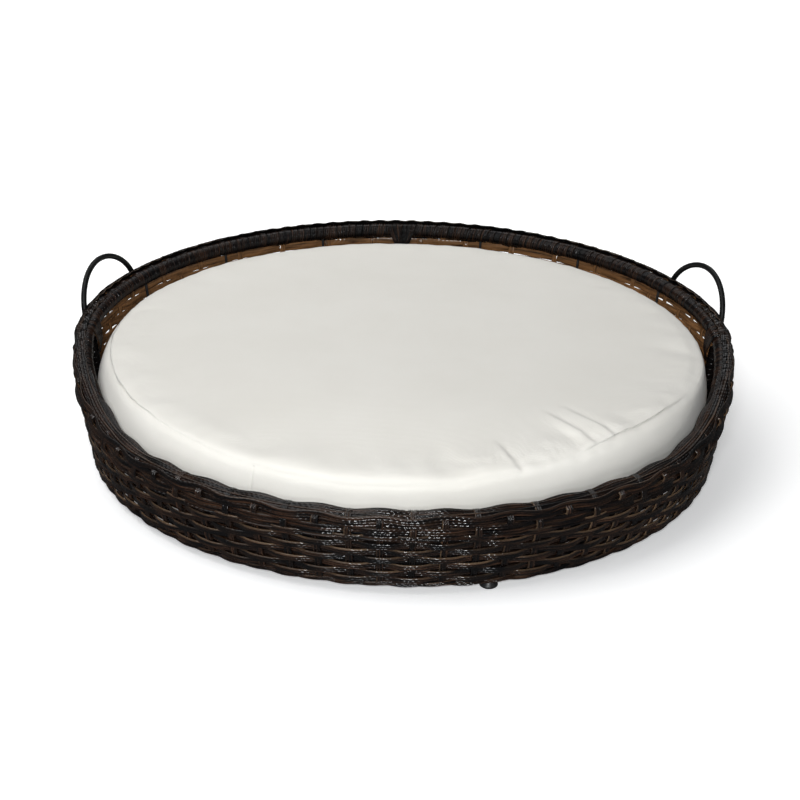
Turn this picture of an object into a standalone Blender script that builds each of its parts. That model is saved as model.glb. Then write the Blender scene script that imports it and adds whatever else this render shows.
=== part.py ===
"""Round low wicker pet bed: a steel frame in a woven wall, two rod handles and a zipped cushion.

Metres, +Z up. The origin is on the floor under the middle of the basket, and the low front faces -Y.
A bearing is an angle round the basket, seen from above: 0 at the front, 90 degrees at the right side.
"""

import math

import bmesh
import bpy
from mathutils import Matrix, Vector

# ---- driving dimensions ----
GAP = 0.0004  # air left between pieces that touch
SEGMENTS = 64  # facets round every large ring

# woven wall and rim
WALL_BOTTOM = 0.015  # the weave's lower edge, held off the floor by the feet
WALL_BOTTOM_RADIUS = 0.4370  # outside of the weave at its lower edge
WALL_TOP_RADIUS = 0.4575  # outside of the weave just under the border
WALL_THICKNESS = 0.005
BORDER_OUTER_RADIUS = 0.4615
BORDER_ABOVE_RIM = 0.0110  # border top over the rim tube's centre
BORDER_BELOW_RIM = 0.0170
RIM_RADIUS = 0.4400  # centre of the rim tube in plan
RIM_REAR_HEIGHT = 0.1570
RIM_FRONT_HEIGHT = 0.1075
LOW_UNTIL = math.radians(48)  # the rim stays low this far from the front
HIGH_FROM = math.radians(90)  # and is at full height from here to the rear
RIM_TUBE_RADIUS = 0.0090
WRAP_INNER_RADIUS = 0.0096
WRAP_OUTER_RADIUS = 0.0108

# base
HOOP_RADIUS = 0.4215
HOOP_HEIGHT = 0.0300
HOOP_TUBE_RADIUS = 0.0080
TUBE_WALL = 0.0012
BAR_RADIUS = 0.0050
BAR_HEIGHT = 0.0330
FLOOR_RADIUS = 0.4155
FLOOR_THICKNESS = 0.0040

# uprights, from the base hoop to the rim
UPRIGHT_FOOT_RADIUS = 0.4240  # centre of an upright where it meets the base hoop, in plan
POST_RADIUS = 0.0060
POST_WRAP_INNER = 0.0064
POST_WRAP_OUTER = 0.0075
ROD_RADIUS = 0.0020
ROD_BEARINGS = [math.radians(b) for b in (17, 39.5, 62)]  # from the front or rear post, both ways

# feet
FOOT_RADIUS = 0.0115
FOOT_NECK_RADIUS = 0.0060
FOOT_STEM_RADIUS = 0.0030
FOOT_EDGE = 0.0020  # rounding of the foot's two edges
FOOT_START = math.radians(14)
FOOT_COUNT = 4

# handles
HANDLE_ROD_RADIUS = 0.0040
HANDLE_BEARING = math.radians(180 - 73.5)
HANDLE_HALF_SPREAD = math.radians(10.5)
HANDLE_LEG_RADIUS = 0.4557
HANDLE_SPRING_HEIGHT = 0.1550
HANDLE_RISE = 0.0650
HANDLE_LEAN = math.radians(12)
HANDLE_LEG_LENGTH = 0.0120
HANDLE_POCKET_RADIUS = 0.0046
HANDLE_STEPS = 22

# cushion
CUSHION_BOTTOM_RADIUS = 0.4145
CUSHION_TOP_RADIUS = 0.4185
CUSHION_SEAM_HEIGHT = 0.1485
CUSHION_CROWN = 0.0070
COVER_THICKNESS = 0.0012
ZIP_HEIGHT = 0.0900
ZIP_HALF_OPENING = 0.0070
ZIP_START = math.radians(127)
ZIP_END = math.radians(233)
ZIP_SEGMENTS = 28
TAPE_THICKNESS = 0.0010
COIL_THICKNESS = 0.0020
COIL_HALF_HEIGHT = 0.0030
SLIDER_BEARING = math.radians(129)
SLIDER_LENGTH = 0.0120
SLIDER_HEIGHT = 0.0084
SLIDER_PLATE = 0.0010
SLIDER_STANDOFF = 0.0006  # the plate's distance in front of the coil
PIN_RADIUS = 0.0006
PIN_STANDOFF = 0.0019
LUG_LENGTH = 0.0012
LUG_HEIGHT = 0.0030
PULL_WIDTH = 0.0050
PULL_LENGTH = 0.0200
PULL_THICKNESS = 0.0012
PULL_KNUCKLE_RADIUS = 0.0014

# worked out from the above
UPRIGHT_FOOT_HEIGHT = HOOP_HEIGHT + HOOP_TUBE_RADIUS + GAP
FLOOR_BOTTOM = HOOP_HEIGHT + HOOP_TUBE_RADIUS + GAP
CUSHION_BOTTOM = FLOOR_BOTTOM + FLOOR_THICKNESS + GAP


# ---- places round the basket ----
def at(bearing, radius, height):
    """The point at a bearing, a distance from the middle and a height."""
    return Vector((radius * math.sin(bearing), -radius * math.cos(bearing), height))


def outward(bearing):
    return at(bearing, 1, 0)


def sideways(bearing):
    """The level direction in which the bearing grows."""
    return Vector((math.cos(bearing), math.sin(bearing), 0))


def from_front(bearing):
    """How far a bearing is from the front, either way."""
    turned = bearing % math.tau
    return min(turned, math.tau - turned)


def rim_height(bearing):
    """Height of the rim tube's centre: low in front, high at the rear, with an S between them."""
    share = (from_front(bearing) - LOW_UNTIL) / (HIGH_FROM - LOW_UNTIL)
    share = min(max(share, 0), 1)
    rise = RIM_REAR_HEIGHT - RIM_FRONT_HEIGHT
    return RIM_FRONT_HEIGHT + rise * share * share * (3 - 2 * share)


def rim_centre(bearing):
    return at(bearing, RIM_RADIUS, rim_height(bearing))


def circle_points(centre_radius, centre_height, radius, sides):
    """Corners of a round section, as radius and height pairs."""
    points = []
    for i in range(sides):
        angle = math.tau * (i + 0.5) / sides
        points.append((centre_radius + radius * math.cos(angle), centre_height + radius * math.sin(angle)))
    return points


# ---- objects ----
def clear_scene():
    for obj in list(bpy.data.objects):
        bpy.data.objects.remove(obj)


def material(name, colour, roughness, metallic=0.0):
    made = bpy.data.materials.new(name)
    made.use_nodes = True
    shader = made.node_tree.nodes["Principled BSDF"]
    shader.inputs["Base Color"].default_value = (*colour, 1)
    shader.inputs["Roughness"].default_value = roughness
    shader.inputs["Metallic"].default_value = metallic
    return made


def steel(name):
    return material(name, (0.012, 0.012, 0.013), 0.42, 0.3)


def wicker(name):
    return material(name, (0.030, 0.021, 0.016), 0.45)


def plastic(name):
    return material(name, (0.015, 0.015, 0.016), 0.5)


def fabric(name):
    return material(name, (0.74, 0.71, 0.65), 0.9)


def add_object(name, bm, finish, origin=(0, 0, 0)):
    """Makes the object from a bmesh in world places, with its own origin at the point given."""
    bmesh.ops.recalc_face_normals(bm, faces=bm.faces)
    mesh = bpy.data.meshes.new(name)
    bm.transform(Matrix.Translation(-Vector(origin)))
    bm.to_mesh(mesh)
    bm.free()
    mesh.shade_smooth()
    mesh.set_sharp_from_angle(angle=math.radians(35))
    obj = bpy.data.objects.new(name, mesh)
    obj.location = origin
    bpy.context.scene.collection.objects.link(obj)
    mesh.materials.append(finish)
    return obj


def apply_boolean(obj, other, operation):
    """Cuts or joins obj with other, which is then removed."""
    modifier = obj.modifiers.new(operation.title(), "BOOLEAN")
    modifier.operation = operation
    modifier.object = other
    graph = bpy.context.evaluated_depsgraph_get()
    result = bpy.data.meshes.new_from_object(obj.evaluated_get(graph))
    obj.modifiers.clear()
    obj.data = result
    bpy.data.objects.remove(other)


def sweep(bm, rings, closed):
    """Skins a list of corner loops; the ends are capped where the sweep isn't closed."""
    loops = [[bm.verts.new(corner) for corner in ring] for ring in rings]
    corners = len(loops[0])
    spans = len(loops) if closed else len(loops) - 1
    for i in range(spans):
        here = loops[i]
        there = loops[(i + 1) % len(loops)]
        for j in range(corners):
            k = (j + 1) % corners
            bm.faces.new((here[j], here[k], there[k], there[j]))
    if not closed:
        bm.faces.new(loops[0])
        bm.faces.new(loops[-1])


def ring_body(name, sections, finish):
    """A closed body all the way round. Each section gives its (radius, height) corners at a bearing."""
    bm = bmesh.new()
    bearings = [math.tau * i / SEGMENTS for i in range(SEGMENTS)]
    for section in sections:
        rings = [[at(b, r, z) for r, z in section(b)] for b in bearings]
        sweep(bm, rings, closed=True)
    obj = add_object(name, bm, finish)
    if len(sections) > 1:
        face_hollow_inward(obj, len(sections[0](0)) * SEGMENTS)
    return obj


def face_hollow_inward(obj, outer_faces):
    """Turns the faces of a tube's bore, which come after its outer faces, to look into the bore."""
    bm = bmesh.new()
    bm.from_mesh(obj.data)
    bm.faces.ensure_lookup_table()
    bmesh.ops.recalc_face_normals(bm, faces=bm.faces[:outer_faces])
    bmesh.ops.recalc_face_normals(bm, faces=bm.faces[outer_faces:])
    bmesh.ops.reverse_faces(bm, faces=bm.faces[outer_faces:])
    bm.to_mesh(obj.data)
    bm.free()


def cross_frame(direction):
    """Two directions square to the one given."""
    side = direction.cross(Vector((0, 0, 1)))
    if side.length < 1e-6:
        side = Vector((1, 0, 0))
    side.normalize()
    return side, direction.cross(side).normalized()


def circle_at(centre, direction, radius, sides):
    side, up = cross_frame(direction)
    corners = []
    for i in range(sides):
        angle = math.tau * (i + 0.5) / sides
        corners.append(centre + side * radius * math.cos(angle) + up * radius * math.sin(angle))
    return corners


def rod_between(name, start, end, radius, finish, sides=8):
    bm = bmesh.new()
    direction = (end - start).normalized()
    sweep(bm, [circle_at(p, direction, radius, sides) for p in (start, end)], closed=False)
    return add_object(name, bm, finish, start)


def tube_between(name, start, end, outer, inner, finish, sides=12):
    """A straight tube, open at both ends."""
    bm = bmesh.new()
    direction = (end - start).normalized()
    rings = [
        circle_at(start, direction, outer, sides),
        circle_at(end, direction, outer, sides),
        circle_at(end, direction, inner, sides),
        circle_at(start, direction, inner, sides),
    ]
    sweep(bm, rings, closed=True)
    return add_object(name, bm, finish, start)


def turned(name, profile, centre, finish, sides):
    """A solid of revolution about a vertical line; profile is (radius, height) from the axis and back."""
    bm = bmesh.new()
    first = bm.verts.new(centre + Vector((0, 0, profile[0][1])))
    last = bm.verts.new(centre + Vector((0, 0, profile[-1][1])))
    loops = []
    for r, z in profile[1:-1]:
        angles = [math.tau * i / sides for i in range(sides)]
        loops.append([bm.verts.new(centre + at(a, r, z)) for a in angles])
    for i in range(sides):
        j = (i + 1) % sides
        bm.faces.new((first, loops[0][i], loops[0][j]))
        bm.faces.new((last, loops[-1][j], loops[-1][i]))
        for low, high in zip(loops, loops[1:]):
            bm.faces.new((low[i], high[i], high[j], low[j]))
    return add_object(name, bm, finish, centre)


def cylinder_cutter(ends, radius, sides=12):
    """One helper object made of a cylinder for each (start, end) pair."""
    bm = bmesh.new()
    for start, end in ends:
        direction = (end - start).normalized()
        sweep(bm, [circle_at(p, direction, radius, sides) for p in (start, end)], closed=False)
    return as_helper(add_object("cutter", bm, None))


def as_helper(obj):
    obj.hide_render = True
    obj.display_type = "WIRE"
    return obj


def box_in(bm, centre, axes, size):
    """Adds a box with its sides along three given directions."""
    corners = []
    for i in (-0.5, 0.5):
        square = []
        for j, k in ((-0.5, -0.5), (0.5, -0.5), (0.5, 0.5), (-0.5, 0.5)):
            offset = axes[0] * i * size[0] + axes[1] * j * size[1] + axes[2] * k * size[2]
            square.append(centre + offset)
        corners.append(square)
    sweep(bm, corners, closed=False)


# ---- uprights ----
def upright_line(bearing):
    """Foot and head of an upright: it stands on the base hoop and points at the rim tube's centre."""
    foot = at(bearing, UPRIGHT_FOOT_RADIUS, UPRIGHT_FOOT_HEIGHT)
    aim = (rim_centre(bearing) - foot).normalized()
    return foot, rim_centre(bearing) - aim * (RIM_TUBE_RADIUS + GAP), aim


def post_bearings():
    return {"front": 0.0, "right": math.pi / 2, "rear": math.pi, "left": 3 * math.pi / 2}


def rod_bearings():
    found = []
    for middle in (0.0, math.pi):
        for offset in ROD_BEARINGS:
            found += [(middle + offset) % math.tau, (middle - offset) % math.tau]
    return sorted(found)


def build_posts():
    for side, bearing in post_bearings().items():
        foot, head, aim = upright_line(bearing)
        inner = POST_RADIUS - TUBE_WALL
        tube_between(f"{side}_post", foot, head, POST_RADIUS, inner, steel(f"{side}_post_steel"))
        wrap_foot = foot + aim * 0.002
        wrap_head = rim_centre(bearing) - aim * (WRAP_OUTER_RADIUS + GAP)
        finish = wicker(f"{side}_post_wicker")
        tube_between(f"{side}_post_wrap", wrap_foot, wrap_head, POST_WRAP_OUTER, POST_WRAP_INNER, finish)


def build_rods():
    for number, bearing in enumerate(rod_bearings(), 1):
        foot, head, _ = upright_line(bearing)
        rod_between(f"upright_rod_{number:02d}", foot, head, ROD_RADIUS, steel(f"rod_{number:02d}_steel"))


# ---- rim ----
def build_rim_hoop():
    sections = [
        lambda b: circle_points(RIM_RADIUS, rim_height(b), RIM_TUBE_RADIUS, 8),
        lambda b: circle_points(RIM_RADIUS, rim_height(b), RIM_TUBE_RADIUS - TUBE_WALL, 8),
    ]
    hoop = ring_body("rim_hoop", sections, steel("rim_hoop_steel"))
    vent = rim_centre(math.radians(188))
    cutter = cylinder_cutter([(vent, vent - Vector((0, 0, 0.012)))], 0.002, 8)
    apply_boolean(hoop, cutter, "DIFFERENCE")


def build_rim_wrap():
    """The sleeve of strand wound round the rim tube, with a hole where each upright comes in."""
    sections = [
        lambda b: circle_points(RIM_RADIUS, rim_height(b), WRAP_OUTER_RADIUS, 8),
        lambda b: circle_points(RIM_RADIUS, rim_height(b), WRAP_INNER_RADIUS, 8),
    ]
    wrap = ring_body("rim_wrap", sections, wicker("rim_wrap_wicker"))
    for bearings, radius in ((post_bearings().values(), POST_RADIUS), (rod_bearings(), ROD_RADIUS)):
        ends = []
        for bearing in bearings:
            aim = upright_line(bearing)[2]
            centre = rim_centre(bearing)
            ends.append((centre - aim * 0.006, centre - aim * 0.014))
        apply_boolean(wrap, cylinder_cutter(ends, radius + GAP + 0.0002), "DIFFERENCE")


def border_section(bearing):
    height = rim_height(bearing)
    inner = RIM_RADIUS + WRAP_OUTER_RADIUS + GAP
    low = height - BORDER_BELOW_RIM
    high = height + BORDER_ABOVE_RIM
    return [
        (inner, low),
        (BORDER_OUTER_RADIUS - 0.002, low),
        (BORDER_OUTER_RADIUS, low + 0.003),
        (BORDER_OUTER_RADIUS, high - 0.003),
        (BORDER_OUTER_RADIUS - 0.002, high),
        (inner, high),
    ]


def build_rim_border():
    """The plaited border outside the rim tube, with a pocket for each handle leg."""
    border = ring_body("rim_border", [border_section], wicker("rim_border_wicker"))
    for side in (1, -1):
        pockets = add_object("cutter", handle_rod(side, HANDLE_POCKET_RADIUS, 0.004), None)
        apply_boolean(border, as_helper(pockets), "DIFFERENCE")


# ---- wall and base ----
def wall_section(bearing):
    top = rim_height(bearing) - BORDER_BELOW_RIM - GAP
    return [
        (WALL_BOTTOM_RADIUS - WALL_THICKNESS, WALL_BOTTOM),
        (WALL_BOTTOM_RADIUS, WALL_BOTTOM),
        (WALL_TOP_RADIUS, top),
        (WALL_TOP_RADIUS - WALL_THICKNESS, top),
    ]


def build_wall():
    ring_body("wall_weave", [wall_section], wicker("wall_weave_wicker"))


def foot_bearings():
    return [FOOT_START + math.tau * i / FOOT_COUNT for i in range(FOOT_COUNT)]


def build_base_hoop():
    sections = [
        lambda b: circle_points(HOOP_RADIUS, HOOP_HEIGHT, HOOP_TUBE_RADIUS, 8),
        lambda b: circle_points(HOOP_RADIUS, HOOP_HEIGHT, HOOP_TUBE_RADIUS - TUBE_WALL, 8),
    ]
    hoop = ring_body("base_hoop", sections, steel("base_hoop_steel"))
    ends = []
    for bearing in foot_bearings():
        low = at(bearing, HOOP_RADIUS, HOOP_HEIGHT - 0.012)
        ends.append((low, low + Vector((0, 0, 0.011))))
    apply_boolean(hoop, cylinder_cutter(ends, FOOT_STEM_RADIUS + GAP), "DIFFERENCE")


def build_base_bars():
    reach = HOOP_RADIUS - HOOP_TUBE_RADIUS - GAP
    inner = BAR_RADIUS - TUBE_WALL
    middle = Vector((0, 0, BAR_HEIGHT))
    bars = {
        "base_bar_across": (middle - Vector((reach, 0, 0)), middle + Vector((reach, 0, 0))),
        "base_bar_front": (middle + at(0, BAR_RADIUS + GAP, 0), middle + at(0, reach, 0)),
        "base_bar_rear": (middle + at(math.pi, BAR_RADIUS + GAP, 0), middle + at(math.pi, reach, 0)),
    }
    for name, (start, end) in bars.items():
        tube_between(name, start, end, BAR_RADIUS, inner, steel(f"{name}_steel"))


def build_floor_weave():
    top = FLOOR_BOTTOM + FLOOR_THICKNESS
    profile = [(0, FLOOR_BOTTOM), (FLOOR_RADIUS, FLOOR_BOTTOM), (FLOOR_RADIUS, top), (0, top)]
    turned("floor_weave", profile, Vector(), wicker("floor_weave_wicker"), SEGMENTS)


def build_feet():
    shoulder = HOOP_HEIGHT - HOOP_TUBE_RADIUS - GAP
    top = WALL_BOTTOM - GAP
    stem_top = HOOP_HEIGHT - 0.003
    profile = [
        (0, 0),
        (FOOT_RADIUS - FOOT_EDGE, 0),
        (FOOT_RADIUS, FOOT_EDGE),
        (FOOT_RADIUS, top - FOOT_EDGE),
        (FOOT_RADIUS - FOOT_EDGE, top),
        (FOOT_NECK_RADIUS, top),
        (FOOT_NECK_RADIUS, shoulder),
        (FOOT_STEM_RADIUS, shoulder),
        (FOOT_STEM_RADIUS, stem_top),
        (0, stem_top),
    ]
    for number, bearing in enumerate(foot_bearings(), 1):
        turned(f"foot_{number}", profile, at(bearing, HOOP_RADIUS, 0), plastic(f"foot_{number}_plastic"), 16)


# ---- handles ----
def handle_path(side, extra=0.0):
    """Centre line of a bent rod: a leg, half an ellipse leaning outward, and the other leg."""
    bearing = HANDLE_BEARING * side
    along = sideways(bearing)
    rise = Vector((0, 0, math.cos(HANDLE_LEAN))) + outward(bearing) * math.sin(HANDLE_LEAN)
    half = HANDLE_LEG_RADIUS * math.sin(HANDLE_HALF_SPREAD)
    middle = at(bearing, HANDLE_LEG_RADIUS * math.cos(HANDLE_HALF_SPREAD), HANDLE_SPRING_HEIGHT)
    leg = HANDLE_LEG_LENGTH + extra
    path = [middle - along * half - rise * leg]
    for i in range(HANDLE_STEPS + 1):
        angle = math.pi * i / HANDLE_STEPS
        path.append(middle - along * half * math.cos(angle) + rise * HANDLE_RISE * math.sin(angle))
    path.append(middle + along * half - rise * leg)
    return path


def handle_rod(side, radius, extra=0.0):
    """The bent rod as a bmesh, at a radius and with its legs longer by extra."""
    path = handle_path(side, extra)
    flat_normal = (path[-1] - path[0]).cross(path[1] - path[0]).normalized()
    rings = []
    for i, point in enumerate(path):
        before = path[max(i - 1, 0)]
        after = path[min(i + 1, len(path) - 1)]
        across = (after - before).normalized().cross(flat_normal)
        corners = []
        for j in range(8):
            angle = math.tau * j / 8
            corners.append(point + (flat_normal * math.cos(angle) + across * math.sin(angle)) * radius)
        rings.append(corners)
    bm = bmesh.new()
    sweep(bm, rings, closed=False)
    return bm


def build_handles():
    for name, side in (("handle_right", 1), ("handle_left", -1)):
        finish = steel(f"{name}_steel")
        add_object(name, handle_rod(side, HANDLE_ROD_RADIUS), finish, handle_path(side)[0])


# ---- cushion ----
def cushion_profile(inset):
    """Half of the cushion's outline, from the middle of its underside to the middle of its top."""
    low = CUSHION_BOTTOM + inset
    seam = CUSHION_SEAM_HEIGHT - inset
    bottom_radius = CUSHION_BOTTOM_RADIUS - inset
    top_radius = CUSHION_TOP_RADIUS - inset
    return [
        (0, low),
        (bottom_radius - 0.004, low),
        (bottom_radius, low + 0.004),
        (top_radius, seam - 0.004),
        (top_radius - 0.004, seam),
        (0.30, seam + CUSHION_CROWN * 0.7),
        (0, seam + CUSHION_CROWN),
    ]


def band_radius(height):
    """Outside of the cushion's side band at a height."""
    low = CUSHION_BOTTOM + 0.004
    share = (height - low) / (CUSHION_SEAM_HEIGHT - 0.004 - low)
    return CUSHION_BOTTOM_RADIUS + (CUSHION_TOP_RADIUS - CUSHION_BOTTOM_RADIUS) * share


def arc_body(name, section, start, end, finish, segments):
    """A body along part of a ring, with closed ends."""
    bm = bmesh.new()
    bearings = [start + (end - start) * i / segments for i in range(segments + 1)]
    sweep(bm, [[at(b, r, z) for r, z in section] for b in bearings], closed=False)
    return add_object(name, bm, finish)


def build_cushion_cover():
    """The cloth shell, open along the zip."""
    cover = turned("cushion_cover", cushion_profile(0), Vector(), fabric("cover_fabric"), SEGMENTS)
    inside = turned("cutter", cushion_profile(COVER_THICKNESS), Vector(), None, SEGMENTS)
    apply_boolean(cover, as_helper(inside), "DIFFERENCE")
    radius = band_radius(ZIP_HEIGHT)
    slot = [
        (radius - 0.004, ZIP_HEIGHT - ZIP_HALF_OPENING),
        (radius + 0.004, ZIP_HEIGHT - ZIP_HALF_OPENING),
        (radius + 0.004, ZIP_HEIGHT + ZIP_HALF_OPENING),
        (radius - 0.004, ZIP_HEIGHT + ZIP_HALF_OPENING),
    ]
    cutter = arc_body("cutter", slot, ZIP_START, ZIP_END, None, ZIP_SEGMENTS)
    apply_boolean(cover, as_helper(cutter), "DIFFERENCE")


def build_cushion_foam():
    profile = cushion_profile(COVER_THICKNESS + 0.003)
    turned("cushion_foam", profile, Vector(), material("foam", (0.80, 0.74, 0.52), 0.95), SEGMENTS)


def build_zip_tapes():
    """Two tapes that meet at the zip's coil, one above it and one below."""
    outer = band_radius(ZIP_HEIGHT) - GAP
    inner = outer - TAPE_THICKNESS
    inset = GAP / outer
    for name, way in (("zip_tape_lower", -1), ("zip_tape_upper", 1)):
        section = [
            (inner, ZIP_HEIGHT + way * GAP / 2),
            (inner, ZIP_HEIGHT + way * (ZIP_HALF_OPENING - GAP)),
            (outer, ZIP_HEIGHT + way * (ZIP_HALF_OPENING - GAP)),
            (outer, ZIP_HEIGHT + way * COIL_HALF_HEIGHT),
            (inner + COIL_THICKNESS, ZIP_HEIGHT + way * (COIL_HALF_HEIGHT - 0.0008)),
            (inner + COIL_THICKNESS, ZIP_HEIGHT + way * GAP / 2),
        ]
        finish = fabric(f"{name}_fabric")
        arc_body(name, section, ZIP_START + inset, ZIP_END - inset, finish, ZIP_SEGMENTS)


def zip_face_radius():
    """Outside of the zip's coil."""
    return band_radius(ZIP_HEIGHT) - GAP - TAPE_THICKNESS + COIL_THICKNESS


def slider_axes():
    return outward(SLIDER_BEARING), sideways(SLIDER_BEARING), Vector((0, 0, 1))


def pin_centre():
    return at(SLIDER_BEARING, zip_face_radius() + SLIDER_STANDOFF + SLIDER_PLATE + PIN_STANDOFF, ZIP_HEIGHT)


def build_zip_slider():
    """A plate in front of the coil with two lugs that hold the pin the pull swings on."""
    out, along, up = slider_axes()
    face = at(SLIDER_BEARING, zip_face_radius() + SLIDER_STANDOFF, ZIP_HEIGHT)
    plate = bmesh.new()
    size = (SLIDER_PLATE, SLIDER_LENGTH, SLIDER_HEIGHT)
    box_in(plate, face + out * SLIDER_PLATE / 2, (out, along, up), size)
    slider = add_object("zip_slider", plate, material("slider_metal", (0.35, 0.34, 0.32), 0.4, 0.9))
    lug_offset = PULL_WIDTH / 2 + GAP + LUG_LENGTH / 2
    lug_reach = SLIDER_PLATE / 2 + PIN_STANDOFF + 2 * PIN_RADIUS
    for way in (-1, 1):
        lug = bmesh.new()
        middle = face + out * (SLIDER_PLATE / 2 + lug_reach / 2) + along * way * lug_offset
        box_in(lug, middle, (out, along, up), (lug_reach, LUG_LENGTH, LUG_HEIGHT))
        apply_boolean(slider, as_helper(add_object("lug", lug, None)), "UNION")
    centre = pin_centre()
    reach = along * lug_offset
    apply_boolean(slider, cylinder_cutter([(centre - reach, centre + reach)], PIN_RADIUS, 8), "UNION")


def build_zip_pull():
    """The tab that hangs from the slider's pin by a round knuckle."""
    out, along, up = slider_axes()
    centre = pin_centre()
    tab = bmesh.new()
    middle = centre - up * (PULL_LENGTH / 2)
    box_in(tab, middle, (out, along, up), (PULL_THICKNESS, PULL_WIDTH, PULL_LENGTH))
    pull = add_object("zip_pull", tab, material("pull_metal", (0.35, 0.34, 0.32), 0.4, 0.9), centre)
    half = along * PULL_WIDTH * 0.49
    knuckle = cylinder_cutter([(centre - half, centre + half)], PULL_KNUCKLE_RADIUS, 12)
    apply_boolean(pull, knuckle, "UNION")
    reach = along * PULL_WIDTH
    eye = cylinder_cutter([(centre - reach, centre + reach)], PIN_RADIUS + 0.0003, 8)
    apply_boolean(pull, eye, "DIFFERENCE")


def build_all():
    clear_scene()
    build_rim_hoop()
    build_rim_wrap()
    build_rim_border()
    build_wall()
    build_base_hoop()
    build_base_bars()
    build_floor_weave()
    build_posts()
    build_rods()
    build_feet()
    build_handles()
    build_cushion_cover()
    build_cushion_foam()
    build_zip_tapes()
    build_zip_slider()
    build_zip_pull()


build_all()
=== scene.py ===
"""Looks of a round wicker pet bed with a boxed cushion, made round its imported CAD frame, in metres.

A bearing is the angle round the bed in degrees, from the middle of its front (-Y), growing towards +X.
"""

import bpy
import numpy as np
from mathutils import Matrix, Vector
from mathutils.kdtree import KDTree
from numpy import (arange, array, concatenate, cos, exp, linspace, maximum, minimum, pi, radians, sin,
                   sqrt, stack, tanh)
from numpy.linalg import norm


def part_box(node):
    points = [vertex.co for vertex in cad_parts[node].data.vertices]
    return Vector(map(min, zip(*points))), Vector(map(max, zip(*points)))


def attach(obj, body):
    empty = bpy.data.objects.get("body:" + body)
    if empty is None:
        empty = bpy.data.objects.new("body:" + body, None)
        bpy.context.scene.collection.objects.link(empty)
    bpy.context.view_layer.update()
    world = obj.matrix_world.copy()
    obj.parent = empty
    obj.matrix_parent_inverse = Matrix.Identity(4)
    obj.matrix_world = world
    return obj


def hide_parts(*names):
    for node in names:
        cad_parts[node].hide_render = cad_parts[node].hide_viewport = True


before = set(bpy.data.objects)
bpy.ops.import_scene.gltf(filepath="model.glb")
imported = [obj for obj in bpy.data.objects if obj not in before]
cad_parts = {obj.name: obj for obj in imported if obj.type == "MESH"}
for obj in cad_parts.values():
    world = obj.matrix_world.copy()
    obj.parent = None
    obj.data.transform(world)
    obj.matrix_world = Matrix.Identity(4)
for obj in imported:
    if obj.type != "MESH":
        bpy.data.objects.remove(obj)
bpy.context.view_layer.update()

# Rim
RIM_WRAP_RADIUS = 0.0108
RIM_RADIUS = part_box("rim_wrap")[1].x - RIM_WRAP_RADIUS
RIM_FRONT_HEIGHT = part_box("rim_wrap")[0].z + RIM_WRAP_RADIUS
RIM_REAR_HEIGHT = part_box("rim_wrap")[1].z - RIM_WRAP_RADIUS
RIM_SAG = 0.004
RIM_LIFT = 0.006
RIM_TUBE_RADIUS = 0.0084
LOW_UNTIL = 48.0
HIGH_FROM = 90.0
RING_PITCH = 0.011
RING_STEPS = 18

# Wall
WALL_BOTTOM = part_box("wall_weave")[0].z
WALL_FOOT_RADIUS = 0.4345
WALL_TOP_RADIUS = 0.4535
BORDER_RADIUS = 0.4544
BORDER_DROP = 0.017
STAKES = 74
STAKE_PITCH = 360.0 / STAKES
FIRST_STAKE = -3.85
FRONT_ROWS = 7
REAR_ROWS = 11
ROW_SWING = (0.0026, 0.0012)
ROW_WIDTH = (0.0103, 0.0124)
STAKE_SWING = 0.0009
STEPS_PER_STAKE = 6
LOOPS_UNTIL = 44.0
ALL_ROUND = arange(STAKES * STEPS_PER_STAKE) / STEPS_PER_STAKE * STAKE_PITCH

# Plain strands packed inside the wall
PACKING_UNTIL = 88.0
PACKING_WIDTH = 0.0098
PACKING_THICK = 0.001
PACKING_DEPTH = 0.0056
PACKING_DROP = 0.0026

# Strand
STRAND_WIDTH = 0.0108
STRAND_THICK = 0.0018
STRAND_CROWN = 0.3
STRAND_RIB = 0.85
RIB_SHIFT = 0.0027
RIBS = 3

# Floor
FLOOR_HEIGHT = (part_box("floor_weave")[0].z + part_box("floor_weave")[1].z) / 2
FLOOR_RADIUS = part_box("floor_weave")[1].x
FLOOR_PITCH = 0.011

# Cushion
CUSHION_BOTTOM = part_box("cushion_cover")[0].z
CUSHION_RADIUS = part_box("cushion_cover")[1].x
TOP_HEIGHT = 0.1555
SEAM_HEIGHT = 0.1485

UP = array([0, 0, 1.0])
RANDOM = np.random.default_rng(14)


# ---- places

def smooth(t):
    t = np.clip(t, 0, 1)
    return t * t * (3 - 2 * t)


def at(radius, bearing, z):
    """Points at a radius, bearing and height, as rows."""
    turn = radians(np.asarray(bearing, float))
    radius, turn, z = np.broadcast_arrays(radius, turn, z)
    return stack([radius * sin(turn), -radius * cos(turn), z], -1)


def outward(bearing):
    return at(1.0, bearing, 0.0)


def sideways(bearing):
    return at(1.0, np.asarray(bearing, float) + 90.0, 0.0)


def from_front(bearing):
    """How far round from the middle of the front, 0 to 180."""
    return np.abs((np.asarray(bearing, float) + 180.0) % 360.0 - 180.0)


def rim_rise(bearing):
    """0 along the low front, 1 along the high back."""
    return smooth((from_front(bearing) - LOW_UNTIL) / (HIGH_FROM - LOW_UNTIL))


def rim_height(bearing):
    """Height of the rim's middle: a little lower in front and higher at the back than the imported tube."""
    low, high = RIM_FRONT_HEIGHT - RIM_SAG, RIM_REAR_HEIGHT + RIM_LIFT
    return low + (high - low) * rim_rise(bearing)


def wall_top(bearing):
    return rim_height(bearing) - BORDER_DROP


def wall_radius(bearing, z):
    """Radius of the middle of the flared wall."""
    share = (z - WALL_BOTTOM) / (wall_top(bearing) - WALL_BOTTOM)
    flare = WALL_TOP_RADIUS - WALL_FOOT_RADIUS - 1.2 * side_tuck(bearing)
    return WALL_FOOT_RADIUS + flare * np.clip(share, 0, 1)


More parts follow.
